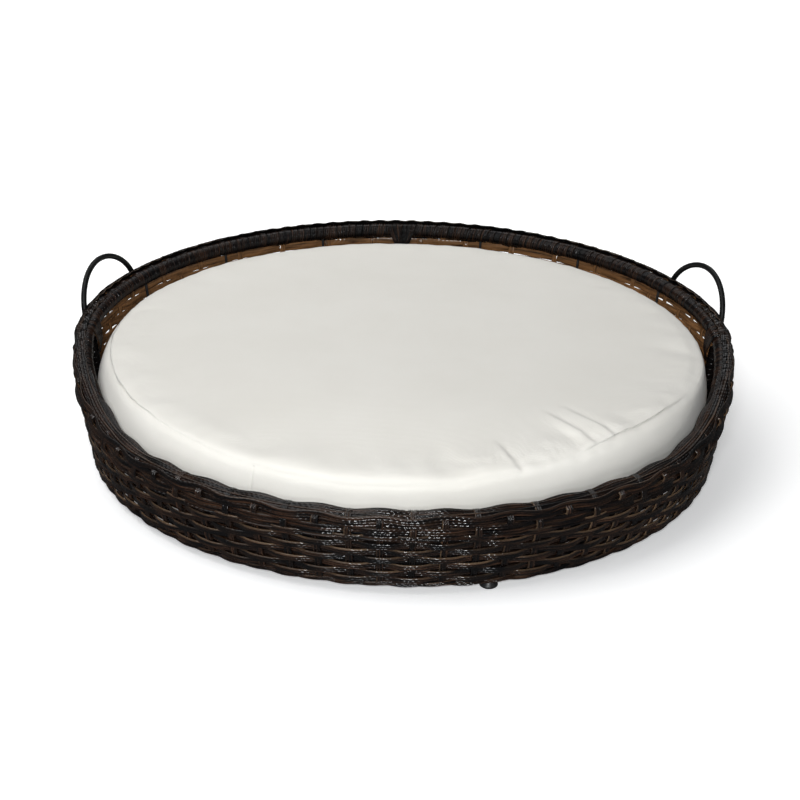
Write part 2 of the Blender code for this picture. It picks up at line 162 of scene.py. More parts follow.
def side_tuck(bearing):
    """How much further in the border and the top of the wall lie where the rim climbs at each side."""
    return 0.0027 * exp(-((from_front(bearing) - 86.0) / 14.0) ** 2)


def stake_phase(bearing):
    """Counts stakes: a whole number at each stake."""
    return (np.asarray(bearing, float) - FIRST_STAKE) / STAKE_PITCH


def weave(phase, row):
    """1 where the strand of this row runs in front of a stake, -1 where it runs behind."""
    wave = cos(pi * (phase + row))
    return tanh(1.6 * wave) / tanh(1.6)


def wander(n, size, knots, closed=True):
    """A slow random drift of about size along n points, made from a few waves."""
    t = arange(n) / n * 2 * pi
    drift = np.zeros(n)
    for k in range(1, knots + 1):
        drift += RANDOM.normal() * sin((k if closed else k * 0.7) * t + RANDOM.uniform(0, 6.28))
    return drift * size / sqrt(knots)


def heading(path, closed=False):
    """Direction along a line at each of its points."""
    return unit(np.roll(path, -1, 0) - np.roll(path, 1, 0) if closed else np.gradient(path, axis=0))


def from_ends(n):
    """How many steps each of n points is from the nearer end."""
    return minimum(arange(n), arange(n)[::-1])


def unit(rows):
    return rows / norm(rows, axis=-1, keepdims=True)


def run_along(path):
    """Length of the line up to each of its points."""
    return concatenate([[0], np.cumsum(norm(np.diff(path, axis=0), axis=1))])


def wound(start, axis, across, reach, pitch, turns, steps):
    """Points of a line wound round a straight axis."""
    turn = (arange(turns * steps) / steps)[:, None]
    angle = 2 * pi * turn
    around = across * cos(angle) + np.cross(axis, across) * sin(angle)
    return start + axis * turn * pitch + around * reach


# ---- strands

def strand_profile(ribs):
    """Outline of a flat ribbed strand one unit wide: rows of across, out, inner-face mark and rib height."""
    n = 4 * ribs + 1
    outer = np.zeros((n, 4))
    outer[:, 0] = linspace(-1, 1, n)
    outer[:, 3] = 0.5 - 0.5 * cos(pi * ribs * (outer[:, 0] + 1))
    outer[:, 1] = STRAND_CROWN * (1 - outer[:, 0] ** 2) + STRAND_RIB * outer[:, 3] - 0.35
    inner = np.ones((5, 4))
    inner[:, 0] = linspace(0.94, -0.94, 5)
    inner[:, 1] = (-0.5, -0.75, -0.62, -0.75, -0.5)
    rows = np.vstack([outer, inner])
    rows[:, 0] /= 2
    return rows


class Strands:
    """Gathers many strands and turns them into one mesh."""

    def __init__(self):
        self.points, self.quads, self.caps, self.marks, self.faces = [], [], [], [], []
        self.count = 0

    def lay(self, path, across, width=STRAND_WIDTH, thick=STRAND_THICK, ribs=RIBS, closed=False,
            tone=None):
        """One strand along path. Its outer face looks along the cross product of path and across."""
        path = np.asarray(path, float)
        across = np.broadcast_to(across, path.shape)
        width = np.broadcast_to(width, (len(path),))
        thick = np.broadcast_to(thick, (len(path),))
        along = heading(path, closed)
        if closed:
            # The ends meet near the back, at a place that differs from strand to strand.
            first = int(len(path) * RANDOM.uniform(0.34, 0.66))
            order = (first + arange(len(path) + 1)) % len(path)
            path, across, along, width, thick = (a[order] for a in (path, across, along, width, thick))
        n = len(path)
        across = unit(across - np.sum(across * along, -1, keepdims=True) * along)
        out = np.cross(along, across)
        profile = strand_profile(ribs)
        m = len(profile)
        rings = (path[:, None] + across[:, None] * profile[None, :, :1] * width[:, None, None]
                 + out[:, None] * profile[None, :, 1:2] * thick[:, None, None])
        run = run_along(path)
        tone = RANDOM.uniform(0, 1) if tone is None else tone
        mark = np.empty((n, m, 3))
        mark[..., 0] = run[:, None] + tone * 7.3 + np.floor((profile[:, 0] + 0.499) * ribs) * RIB_SHIFT
        mark[..., 1] = profile[None, :, 0] * 2
        mark[..., 2] = tone
        ids = self.count + arange(n * m).reshape(n, m)
        self.points.append(rings.reshape(-1, 3))
        self.marks.append(mark.reshape(-1, 3))
        self.faces.append(np.tile(profile[:, 2:], (n, 1)))
        self.quads.append(between_rings(ids).reshape(-1, 4))
        self.caps += [ids[0], ids[-1][::-1]]
        self.count += n * m

    def make(self, name, material):
        points = concatenate(self.points)
        quads = concatenate(self.quads)
        mesh = mesh_from(name, points, quads, self.caps)
        marks = mesh.attributes.new("strand", "FLOAT_VECTOR", "POINT")
        marks.data.foreach_set("vector", concatenate(self.marks).astype(np.float32).ravel())
        faces = concatenate(self.faces).astype(np.float32)
        for column, key in enumerate(("inner", "rib")):
            mesh.attributes.new(key, "FLOAT", "POINT").data.foreach_set("value", faces[:, column].copy())
        return add_object(name, mesh, material)


def between_rings(ids):
    """Faces between rows of point numbers, where each row is a closed ring."""
    after = np.roll(ids, -1, 1)
    return stack([ids[:-1], ids[1:], after[1:], after[:-1]], -1)


def mesh_from(name, points, quads, caps=()):
    """A smooth mesh from points, quads and a few wider faces."""
    mesh = bpy.data.meshes.new(name)
    loops = concatenate([quads.ravel(), *caps]).astype(np.int32)
    sizes = concatenate([np.full(len(quads), 4), [len(c) for c in caps]]).astype(np.int32)
    mesh.vertices.add(len(points))
    mesh.vertices.foreach_set("co", np.asarray(points, np.float32).ravel())
    mesh.loops.add(len(loops))
    mesh.loops.foreach_set("vertex_index", loops)
    mesh.polygons.add(len(sizes))
    mesh.polygons.foreach_set("loop_start", concatenate([[0], np.cumsum(sizes)[:-1]]).astype(np.int32))
    mesh.update(calc_edges=True)
    mesh.validate()
    mesh.shade_smooth()
    return mesh


def coordinates(mesh, key="co"):
    rows = np.empty(len(mesh.vertices) * 3, np.float32)
    mesh.vertices.foreach_get(key, rows)
    return rows.reshape(-1, 3).astype(float)


def move_points(mesh, points):
    mesh.vertices.foreach_set("co", points.astype(np.float32).ravel())
    mesh.update()


def add_to_scene(name, data):
    thing = bpy.data.objects.new(name, data)
    bpy.context.scene.collection.objects.link(thing)
    return thing


def wear(mesh, material):
    """Gives a mesh one material."""
    mesh.materials.clear()
    mesh.materials.append(material)


def add_object(name, mesh, material):
    wear(mesh, material)
    return add_to_scene(name, mesh)


def settle(piece, body, slot, *nodes):
    """Puts a finished piece on its body and hides the CAD nodes that it stands for; the finish given as slot
    is not used.
    """
    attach(piece, body)
    if nodes:
        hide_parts(*nodes)
    return piece


# ---- materials

class Surface:
    """A procedural material, with short ways to build its nodes."""

    def __init__(self, name, colour, roughness, metallic=0.0):
        self.material = bpy.data.materials.new(name)
        self.material.use_nodes = True
        self.tree = self.material.node_tree
        self.shader = self.tree.nodes["Principled BSDF"]
        self.shade({"Base Color": (*colour, 1), "Roughness": roughness, "Metallic": metallic})

    def fill(self, node, inputs):
        """Links the sockets and sets the plain values among a node's inputs."""
        for key, value in inputs.items():
            if isinstance(value, bpy.types.NodeSocket):
                self.tree.links.new(value, node.inputs[key])
            else:
                node.inputs[key].default_value = value

    def shade(self, inputs):
        self.fill(self.shader, inputs)

    def node(self, kind, inputs, output=0, **settings):
        """One output of a new node."""
        node = self.tree.nodes.new("ShaderNode" + kind)
        for key, value in settings.items():
            setattr(node, key, value)
        self.fill(node, inputs)
        return node.outputs[output]

    def place(self):
        """Where a point is on its own piece."""
        return self.node("TexCoord", {}, "Object")

    def axes(self, vector):
        return self.node("SeparateXYZ", {0: vector}).node.outputs

    def maths(self, operation, first, second=0.0):
        return self.node("Math", {0: first, 1: second}, operation=operation)

    def times(self, first, second):
        return self.maths("MULTIPLY", first, second)

    def noise(self, place, scale, detail, roughness=0.5):
        inputs = {"Vector": place, "Scale": scale, "Detail": detail, "Roughness": roughness}
        return self.node("TexNoise", inputs, "Fac")

    def ramp(self, value, low, high, first=0.0, last=1.0):
        """Goes from first, where the value is low, to last, where it is high."""
        return self.node("MapRange", {0: value, 1: low, 2: high, 3: first, 4: last})

    def mix(self, factor, first, second):
        """Mixes two colours, each a socket or a plain one."""
        first, second = (c if isinstance(c, bpy.types.NodeSocket) else (*c, 1) for c in (first, second))
        return self.node("Mix", {0: factor, 6: first, 7: second}, 2, data_type="RGBA")

    def bump(self, strength, distance, height):
        bump = self.node("Bump", {"Strength": strength, "Distance": distance, "Height": height})
        self.shade({"Normal": bump})


ESPRESSO = (0.0036, 0.0034, 0.0038)
UMBER = (0.05, 0.023, 0.012)
# Near black painted shade for the grooves between the ribs.
GROOVE_SHADE = (0.0015, 0.0013, 0.0013)
# Light brown edge colour of the strands, which also carries painted light on their upper edges.
EDGE_TAN_AND_TOP_LIGHT = (0.155, 0.101, 0.06)
CARAMEL = (0.3, 0.148, 0.06)


def wicker(name, edge_tan_and_top_light, inside, gloss=0.42, ripple=0.00022):
    """Extruded plastic strand: dark espresso with brown streaks, a light brown edge painted fuller on its
    upper side as light from above and fainter on its lower side as shade, painted shade in the rib grooves,
    and broken glints.
    """
    made = Surface(name, ESPRESSO, 0.36)
    along, across, tone = made.axes(made.node("Attribute", {}, "Vector", attribute_name="strand"))
    inner = made.node("Attribute", {}, "Fac", attribute_name="inner")
    rib = made.node("Attribute", {}, "Fac", attribute_name="rib")

    def stretched(along_scale, across_scale, detail=3.0):
        """Noise drawn out along the strand, different on each one."""
        place = {0: made.times(along, along_scale), 1: made.times(across, across_scale),
                 2: made.times(tone, 31.0)}
        return made.noise(made.node("CombineXYZ", place), 1.0, detail, 0.6)

    streak = stretched(26.0, 1.7, 4.0)
    patch = stretched(9.0, 0.25)
    browned = made.times(made.ramp(streak, 0.42, 0.66), made.ramp(patch, 0.38, 0.58))
    base = made.mix(browned, ESPRESSO, UMBER)
    # Painted light and shade: the light brown edge is the strand's own colour, but it is painted in full on
    # the upper edge as light from above, and only at 0.3 on the lower edge as shade.
    lower = made.times(made.ramp(across, -0.9, -1.0), 0.3)
    edge = made.maths("MAXIMUM", made.ramp(across, 0.66, 0.94), lower)
    base = made.mix(made.times(edge, made.ramp(patch, 0.4, 0.62)), base, edge_tan_and_top_light)
    # Painted shade: the grooves between the ribs are darkened towards near black.
    groove = made.times(made.maths("SUBTRACT", 1.0, rib), made.ramp(across, 0.95, 0.85))
    base = made.mix(made.times(groove, 0.75), base, GROOVE_SHADE)
    faded = made.times(inner, made.ramp(streak, 0.26, 0.6))
    # Shallow waves along each rib break its highlight into dashes.
    wave = made.times(made.maths("SINE", made.times(along, 900.0)), 0.5)
    made.bump(1.0, ripple, made.maths("ADD", wave, made.times(stretched(700.0, 2.0, 2.0), 0.08)))
    made.shade({"Base Color": made.mix(faded, base, inside),
                "Roughness": made.ramp(streak, 0.3, 0.7, 0.12, 0.24), "Specular IOR Level": gloss})
    return made.material


def powder_coat(name, colour, roughness):
    """Painted steel with a fine orange-peel grain and thin rubbed patches."""
    made = Surface(name, colour, roughness)
    place = made.place()
    rub = made.noise(place, 38.0, 5.0)
    lighter = tuple(c * 2.2 + 0.002 for c in colour)
    made.bump(0.5, 0.00012, made.noise(place, 900.0, 2.0))
    made.shade({"Base Color": made.mix(made.ramp(rub, 0.56, 0.8), colour, lighter),
                "Roughness": made.ramp(rub, 0.3, 0.7, roughness - 0.07, roughness + 0.1),
                "Specular IOR Level": 0.18})
    return made.material


def moulded_plastic():
    """Black plastic with a fine grain and scuffs."""
    black, scuffed = (0.012, 0.012, 0.013), (0.05, 0.048, 0.046)
    made = Surface("foot_plastic", black, 0.42)
    place = made.place()
    scuff = made.noise(place, 160.0, 4.0)
    made.shade({"Base Color": made.mix(made.ramp(scuff, 0.58, 0.8), black, scuffed)})
    made.bump(0.5, 0.0001, made.noise(place, 1500.0, 3.0))
    return made.material


def canvas(name, colour, shade, thread=0.0009):
    """Woven polyester: two crossed thread waves, a faint mottle and a soft sheen."""
    made = Surface(name, colour, 0.9)
    place = made.place()
    warp, weft, rise = (made.maths("SINE", made.times(axis, 2 * pi / thread))
                        for axis in made.axes(place))
    threads = made.maths("ADD", made.times(warp, weft), rise)
    slub = made.times(made.noise(place, 420.0, 3.0), 2.5)
    made.bump(0.6, 0.00005, made.maths("ADD", threads, slub))
    mottle = made.ramp(made.noise(place, 7.0, 6.0, 0.62), 0.38, 0.68)
    made.shade({"Base Color": made.mix(made.times(mottle, 0.55), colour, shade),
                "Specular IOR Level": 0.25, "Sheen Weight": 0.25, "Sheen Roughness": 0.5})
    return made.material


def foam_cells():
    """Pale yellow foam with open cells."""
    made = Surface("cushion_foam", (0.78, 0.7, 0.45), 0.95)
    cells = made.node("TexVoronoi", {"Vector": made.place(), "Scale": 420.0}, "Distance")
    share = made.ramp(cells, 0.2, 0.8)
    made.shade({"Base Color": made.mix(share, (0.8, 0.72, 0.47), (0.62, 0.53, 0.3))})
    made.bump(0.8, 0.0006, cells)
    return made.material


def brushed_metal():
    """Nickel with fine scratches."""
    made = Surface("zip_metal", (0.62, 0.61, 0.58), 0.3, 1.0)
    scratch = made.noise(made.place(), 2600.0, 2.0)
    made.shade({"Roughness": made.ramp(scratch, 0.3, 0.7, 0.22, 0.42)})
    made.bump(0.3, 0.00004, scratch)
    return made.material


# ---- wall

def row_pitch(bearing):
    front = (RIM_FRONT_HEIGHT - BORDER_DROP - WALL_BOTTOM) / FRONT_ROWS
    rear = (RIM_REAR_HEIGHT + RIM_LIFT - BORDER_DROP - WALL_BOTTOM) / REAR_ROWS
    return front + (rear - front) * rim_rise(bearing)


def row_height(bearing, row):
    """Middle height of a row, counted up from the foot."""
    return WALL_BOTTOM + (row + 0.5) * row_pitch(bearing)


def packed(bearing, loose_and_tight):
    """Goes from the first value along the front to the second along the back, where the rows are packed."""
    loose, tight = loose_and_tight
    return loose + (tight - loose) * smooth((from_front(bearing) - 55.0) / 35.0)


def wall_slope(bearing):
    """Direction up the flared wall."""
    flare = (WALL_TOP_RADIUS - WALL_FOOT_RADIUS) / (wall_top(bearing) - WALL_BOTTOM)
    return at(flare, bearing, 1.0)


def row_start(row):
    """Bearing at which a short row comes out from behind the border."""
    tries = linspace(LOW_UNTIL, HIGH_FROM, 400)
    clear = row_height(tries, row) <= rim_height(tries) - 0.009
    return tries[np.argmax(clear)]


def make_wall_rows(material):
    strands = Strands()
    for row in range(REAR_ROWS):
        closed = row <= FRONT_ROWS
        if closed:
            bearing = ALL_ROUND
        else:
            start = row_start(row)
            bearing = arange(start, 360.0 - start, STAKE_PITCH / STEPS_PER_STAKE)
        n = len(bearing)
        z = row_height(bearing, row) + wander(n, 0.0005, 9, closed)
        swing = packed(bearing, ROW_SWING) * (1 + wander(n, 0.12, 11, closed))
        hidden = smooth((z - wall_top(bearing) + 0.003) / 0.006)
        radius = wall_radius(bearing, z) + swing * (1 - 0.7 * hidden) * weave(stake_phase(bearing), row + 1)
        radius -= 0.0036 * hidden
        if not closed:
            radius -= 0.004 * (1 - smooth(from_ends(n) / (STEPS_PER_STAKE * 1.2)))
        width = packed(bearing, ROW_WIDTH) * (1 + wander(n, 0.03, 13, closed))
        strands.lay(at(radius, bearing, z), wall_slope(bearing), width, closed=closed)
    return strands.make("wall_rows", material)


def make_wall_packing(material):
    """Plain strands laid inside the front half, behind its looser rows, with one inside the whole foot."""
    strands = Strands()
    for row in range(FRONT_ROWS + 1):
        reach = PACKING_UNTIL if row else 180.0
        bearing = arange(-reach, reach, STAKE_PITCH / 3)
        n = len(bearing)
        drop = PACKING_DROP / cos(radians(minimum(from_front(bearing), 62.0)))
        z = row_height(bearing, row) - 0.5 * row_pitch(bearing) - drop + wander(n, 0.0003, 9, False)
        z = maximum(z, WALL_BOTTOM + 0.0034)
        path = at(wall_radius(bearing, z) - PACKING_DEPTH, bearing, z)
        strands.lay(path, wall_slope(bearing), PACKING_WIDTH, PACKING_THICK, 2)
    return strands.make("wall_front_packing", material)


def smooth_path(points, steps):
    """A curve through the given points, as rows."""
    points = np.asarray(points, float)
    padded = np.vstack([2 * points[0] - points[1], points, 2 * points[-1] - points[-2]])
    out = []
    for i in range(len(points) - 1):
        a, b, c, d = padded[i:i + 4]
        t = (arange(steps) / steps)[:, None]
        out.append(0.5 * (2 * b + (c - a) * t + (2 * a - 5 * b + 4 * c - d) * t ** 2
                          + (3 * b - a - 3 * c + d) * t ** 3))
    return np.vstack([*out, points[-1:]])


# How a stake's end goes over the rim: angle round it, and reach from its middle.
FRONT_LOOP = ((38, 0.014), (66, 0.0124), (95, 0.012), (122, 0.0106))
SIDE_LOOP = ((36, 0.0132), (60, 0.0108), (85, 0.0098))
TUCKED_UNDER = ((52, 0.0114), (80, 0.01))


def stake_outline(bearing, stake):
    """Radius and height up one stake: in and out through the rows and border, then over the rim."""
    outer = stake % 2
    spots = [(wall_radius(bearing, WALL_BOTTOM) - 0.0005, WALL_BOTTOM + 0.0012)]
    for row in range(round((wall_top(bearing) - WALL_BOTTOM) / row_pitch(bearing))):
        z = row_height(bearing, row)
        spots.append((wall_radius(bearing, z) - STAKE_SWING * cos(pi * (stake + row + 1)), z))
    rim, tuck = rim_height(bearing), side_tuck(bearing)
    swings = (0.0032 - 0.4 * tuck, -0.0018)
    for swing, lift in zip(swings if outer else swings[::-1], (-0.01, 0.004)):
        spots.append((BORDER_RADIUS - tuck + swing, rim + lift))
    loop = FRONT_LOOP if from_front(bearing) <= LOOPS_UNTIL else SIDE_LOOP
    for angle, reach in loop if outer else TUCKED_UNDER:
        turn = radians(angle)
        spots.append((RIM_RADIUS + reach * cos(turn), rim + reach * sin(turn)))
    return array(spots)


def make_stakes(material):
    strands = Strands()
    for stake in range(STAKES):
        bearing = FIRST_STAKE + stake * STAKE_PITCH
        outline = smooth_path(stake_outline(bearing, stake), 4)
        lean = RANDOM.normal(0, 0.06) + linspace(-0.5, 0.5, len(outline)) * RANDOM.normal(0, 0.12)
        path = at(outline[:, 0], bearing + lean, outline[:, 1])
        thin = smooth((outline[:, 1] - rim_height(bearing) - 0.006) / 0.006)
        strands.lay(path, -sideways(bearing), STRAND_WIDTH * RANDOM.uniform(0.82, 0.92) * (1 - 0.15 * thin),
                    STRAND_THICK * (1 - 0.4 * thin))
    return strands.make("wall_stakes", material)


def lay_twisted_pair(strands, radius, bearing, height, twist, swing, rise, lean, *size):
    """Two strands twisted round each other on their way round the bed."""
    for turn in (twist, twist + pi):
        path = at(radius + swing * cos(turn), bearing, height + rise * sin(turn))
        strands.lay(path, at(lean * sin(turn), bearing, 1.0), *size, closed=True)


def make_wall_foot(material):
    strands = Strands()
    phase = pi * stake_phase(ALL_ROUND)
    height = WALL_BOTTOM + 0.0006 + 0.0006 * cos(phase) + wander(len(phase), 0.0004, 12)
    lay_twisted_pair(strands, WALL_FOOT_RADIUS + 0.0006, ALL_ROUND, height, phase, 0.0017, 0.0016, -0.5,
                     0.0062, 0.0017, 3)
    return strands.make("wall_foot_twist", material)


# ---- border and rim

def around_rim(bearing, angle, reach):
    """Points round the rim tube: angle 0 looks outward and 90 looks up."""
    turn = radians(angle)
    return at(RIM_RADIUS + reach * cos(turn), bearing, rim_height(bearing) + reach * sin(turn))


def over_rim(bearing, angle):
    """Direction round the rim tube from angle 0 towards 90."""
    turn = radians(angle)
    return at(-sin(turn), bearing, cos(turn))


# Each plaited band: row number, and height from the rim's middle.
BORDER_BANDS = ((1, 0.0042), (2, -0.0098))
# Each strand on top of the rim: angle round it, least and most reach, and bearing where it dives.
TOP_STRANDS = ((38.0, 0.0126, 0.015, 999.0), (65.0, 0.0106, 0.0146, 96.0))
# Waves per stake of the first of them round the high back.
BACK_WAVES = 107 / STAKES
# Each strand on the low front's inner edge: angle round the rim, and bearing where it ends.
EDGE_STRANDS = ((96.0, 78.0), (128.0, 70.0))


def make_border(material):
    strands = Strands()
    bearing = ALL_ROUND
    n = len(bearing)
    phase = stake_phase(bearing)
    rim = rim_height(bearing)
    crest = cos(pi * phase)
    base = BORDER_RADIUS - side_tuck(bearing)
    for row, height in BORDER_BANDS:
        for part in (-1, 1):
            swing = 0.0017 * weave(phase, row)
            lift = 0.0012 * crest * (1 if row == 1 and part == 1 else 0.2)
            z = rim + height + part * 0.0035 + lift + wander(n, 0.00035, 12)
            radius = base + swing + wander(n, 0.0003, 9)
            width = 0.0078 * (1 + wander(n, 0.04, 15))
            strands.lay(at(radius, bearing, z), UP, width, 0.0017, 2, closed=True)
    # A narrow strand closes the lower edge.
    edge_radius = base + 0.0016 + 0.0016 * weave(phase, 2)
    edge = at(edge_radius, bearing, rim - 0.0172 + wander(n, 0.0002, 10))
    strands.lay(edge, UP, 0.0034, 0.0022, 1, closed=True, tone=0.97)
    # Two strands lie along the top of the rim, over every second stake and under the others.
    for angle, low, high, until in TOP_STRANDS:
        scallop = crest + (cos(2 * pi * BACK_WAVES * phase) * 0.8 - crest) * rim_rise(bearing)
        reach = (low + high) / 2 + (high - low) / 2 * scallop + wander(n, 0.0002, 14)
        reach -= 0.006 * smooth((from_front(bearing) - until) / 14.0)
        reach += 0.0013 * rim_rise(bearing) * (until > 180.0)
        angle = angle + 10.0 * rim_rise(bearing)
        strands.lay(around_rim(bearing, angle, reach), over_rim(bearing, angle), 0.0096, 0.0016, 3,
                    closed=True)
    return strands.make("border_bands", material)


def make_rim_edge(material):
    """Two more strands along the low front's inner edge, tucked in where the rim rises."""
    strands = Strands()
    for angle, until in EDGE_STRANDS:
        bearing = arange(-until, until, STAKE_PITCH / STEPS_PER_STAKE)
        n = len(bearing)
        reach = 0.0112 + 0.0016 * cos(pi * stake_phase(bearing)) + wander(n, 0.0002, 9, False)
        reach -= 0.003 * (1 - smooth(from_ends(n) / (STEPS_PER_STAKE * 1.5)))
        strands.lay(around_rim(bearing, angle, reach), over_rim(bearing, angle), 0.0082, 0.0016, 3)
    return strands.make("rim_edge_strands", material)


def rim_line(count):
    """Bearings evenly spread along the rim's real length."""
    fine = linspace(0, 360, 7201)
    run = run_along(at(RIM_RADIUS, fine, rim_height(fine)))
    return np.interp(arange(count) / count * run[-1], run, fine), run[-1]


def make_rim_wrap(material):
    """One strand wound all round the rim tube."""
    turns = int(round(rim_line(1)[1] / RING_PITCH))
    n = turns * RING_STEPS
    bearing, _ = rim_line(n)
    centre = at(RIM_RADIUS, bearing, rim_height(bearing))
    forward = heading(centre, closed=True)
    out = outward(bearing)
    up = np.cross(out, forward)
    up *= np.sign(up[:, 2:])
    turn = 2 * pi * arange(n) / RING_STEPS
    per_ring = np.repeat(RANDOM.normal(0, 1, turns), RING_STEPS)
    kernel = np.ones(RING_STEPS) / RING_STEPS
    drift = np.convolve(concatenate([per_ring[-RING_STEPS:], per_ring]), kernel, "same")[RING_STEPS:]
    reach = RIM_WRAP_RADIUS - 0.001 + 0.0003 * drift
    path = centre + (out * cos(turn)[:, None] + up * sin(turn)[:, None]) * reach[:, None]
    path += forward * (drift * 0.0006)[:, None]
    strands = Strands()
    strands.lay(path, -forward, 0.0106, 0.0012, 3, closed=True)
    return strands.make("rim_winding", material)


# ---- frame pieces

def tube(name, path, radius, sides, material, closed=False):
    """A round bar along path."""
    path = np.asarray(path, float)
    n = len(path)
    along = heading(path, closed)
    side = unit(np.cross(along, [0.31, 0.17, 0.93]))
    turn = (arange(sides) / sides * 2 * pi)[None, :, None]
    ring = side[:, None] * cos(turn) + np.cross(along, side)[:, None] * sin(turn)
    points = path[:, None] + ring * radius
    ids = arange(n * sides).reshape(n, sides)[:, ::-1]
    quads = between_rings(np.vstack([ids, ids[:1]]) if closed else ids).reshape(-1, 4)
    caps = [] if closed else [ids[0], ids[-1][::-1]]
    return add_object(name, mesh_from(name, points.reshape(-1, 3), quads, caps), material)


def lathe(name, outline, material, segments=48, centre=(0, 0)):
    """A solid of revolution from an outline of (radius, height), top first, both ends on the axis."""
    inner = np.asarray(outline, float)[1:-1]
    turn = arange(segments) / segments * 2 * pi
    radius, height = inner[:, :1], inner[:, 1:] + 0 * turn
    points = stack([centre[0] + radius * cos(turn), centre[1] + radius * sin(turn), height], -1)
    ids = arange(height.size).reshape(height.shape)
    quads = between_rings(ids).reshape(-1, 4)
    mesh = mesh_from(name, points.reshape(-1, 3), quads, [ids[0], ids[-1][::-1]])
    return add_object(name, mesh, material)


HANDLE_BEARING = 106.5
HANDLE_HALF_SPREAD = 10.5
HANDLE_LEG_RADIUS = 0.4535
HANDLE_SPRING_HEIGHT = 0.155
HANDLE_RISE = 0.065
HANDLE_LEAN = 10.0
HANDLE_LEG = 0.012
HANDLE_SKEW = 0.08
HANDLE_ROD_RADIUS = 0.004
HANDLE_STEPS = 80


def handle_line(side):
    """Centre line of a bent rod handle: a leg, half an ellipse and a leg."""
    bearing = side * HANDLE_BEARING
    first = at(HANDLE_LEG_RADIUS, bearing - side * HANDLE_HALF_SPREAD, HANDLE_SPRING_HEIGHT)
    last = at(HANDLE_LEG_RADIUS, bearing + side * HANDLE_HALF_SPREAD, HANDLE_SPRING_HEIGHT)
    middle, half = (first + last) / 2, (last - first) / 2
    lean = radians(HANDLE_LEAN)
    rise = at(sin(lean), bearing, cos(lean))
    turn = linspace(0, pi, HANDLE_STEPS)[:, None]
    height = HANDLE_RISE * (sin(turn) + HANDLE_SKEW * sin(2 * turn))
    bow = middle - half * cos(turn) + rise * height
    return np.vstack([first - rise * HANDLE_LEG, bow, last - rise * HANDLE_LEG])


def make_handles(material):
    for name, side in (("handle_right", 1), ("handle_left", -1)):
        line = handle_line(side)
        rod = tube(name.replace("handle", "rod_handle"), line, HANDLE_ROD_RADIUS, 20, material)
        settle(rod, "root", "handle_steel", name)


def make_handle_lashings(material):
    """Strand bound round each handle leg where it goes into the border."""
    strands = Strands()
    for side in (1, -1):
        line = handle_line(side)
        for base, tip in ((line[0], line[3]), (line[-1], line[-4])):
            axis = unit(tip - base)
            across = unit(np.cross(axis, [0, 0.3, 1.0]))
            path = wound(base + axis * 0.0085, axis, across, HANDLE_ROD_RADIUS + 0.0009, 0.0036, 3, 20)
            strands.lay(path, -axis, 0.0034, 0.0013, 2)
    return strands.make("handle_lashings", material)


POST_FOOT_RADIUS = 0.424
POST_WRAP_RADIUS = 0.007
POST_PITCH = 0.0078
POST_FAN = (-1.0, -0.62, -0.25, 0.25, 0.62, 1.0)
POSTS = {"front_post_wrap": 0.0, "right_post_wrap": 90.0, "rear_post_wrap": 180.0, "left_post_wrap": 270.0}


def post_point(bearing, z):
    """Where the middle of an upright that leans out to the rim is, at a height."""
    share = (z - FLOOR_HEIGHT) / (rim_height(bearing) - FLOOR_HEIGHT)
    return at(POST_FOOT_RADIUS + (RIM_RADIUS - POST_FOOT_RADIUS) * share, bearing, z)


def make_post_winding(bearing, name, material):
    """Strand wound round one post, with strands that fan out from it to the rim in a V."""
    strands = Strands()
    rim = rim_height(bearing)
    low, high = post_point(bearing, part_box(name)[0].z + 0.004), post_point(bearing, rim - 0.0135)
    axis = unit(high - low)
    across = sideways(bearing)
    length = norm(high - low)
    turns = int(length / POST_PITCH)
    winding = wound(low, axis, across, POST_WRAP_RADIUS, length / turns, turns, 18)
    strands.lay(winding, -axis, 0.0074, 0.0012, 3)
    for spread in POST_FAN:
        line = smooth_path([
            at(RIM_RADIUS - 0.014, bearing + 0.62 * spread, rim - 0.036 + 0.006 * abs(spread)),
            at(RIM_RADIUS - 0.016, bearing + 1.05 * spread, rim - 0.019),
            around_rim(bearing + 2.1 * spread, 186.0, 0.0128),
            around_rim(bearing + 2.5 * spread, 138.0, 0.0126),
            around_rim(bearing + 2.6 * spread, 100.0, 0.0112)], 6)
        strands.lay(line, across, 0.0066, 0.0013, 3)
    return strands.make(name + "_winding", material)


def make_feet(material):
    for i in range(1, 5):
        low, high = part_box(f"foot_{i}")
        centre = ((low.x + high.x) / 2, (low.y + high.y) / 2)
        radius = (high.x - low.x) / 2
        top = high.z
        # Down the stem that goes into the hoop, then out to the round glide and under it.
        outline = [(0, top), (0.0026, top), (0.003, top - 0.0004), (0.003, top - 0.0042),
                   (0.006, top - 0.0052), (0.0062, top - 0.0068), (radius - 0.003, 0.0062),
                   (radius - 0.0008, 0.0046), (radius, 0.003), (radius - 0.0002, 0.0014),
                   (radius - 0.0016, 0.0002), (radius - 0.0034, 0.0), (0.0042, 0.0), (0.0036, 0.0008),
                   (0, 0.0008)]
        foot = lathe(f"glide_foot_{i}", outline, material, 40, centre)
        settle(foot, "root", "foot_plastic", f"foot_{i}")


def make_rim_tube(material):
    bearing = arange(300) * 1.2
    line = at(RIM_RADIUS, bearing, rim_height(bearing))
    ring = tube("rim_tube_ring", line, RIM_TUBE_RADIUS, 20, material, closed=True)
    settle(ring, "root", "frame_steel", "rim_hoop")


ROD_RADIUS = 0.002
ROD_EXTRA = 0.008
ROD_END = 0.0015


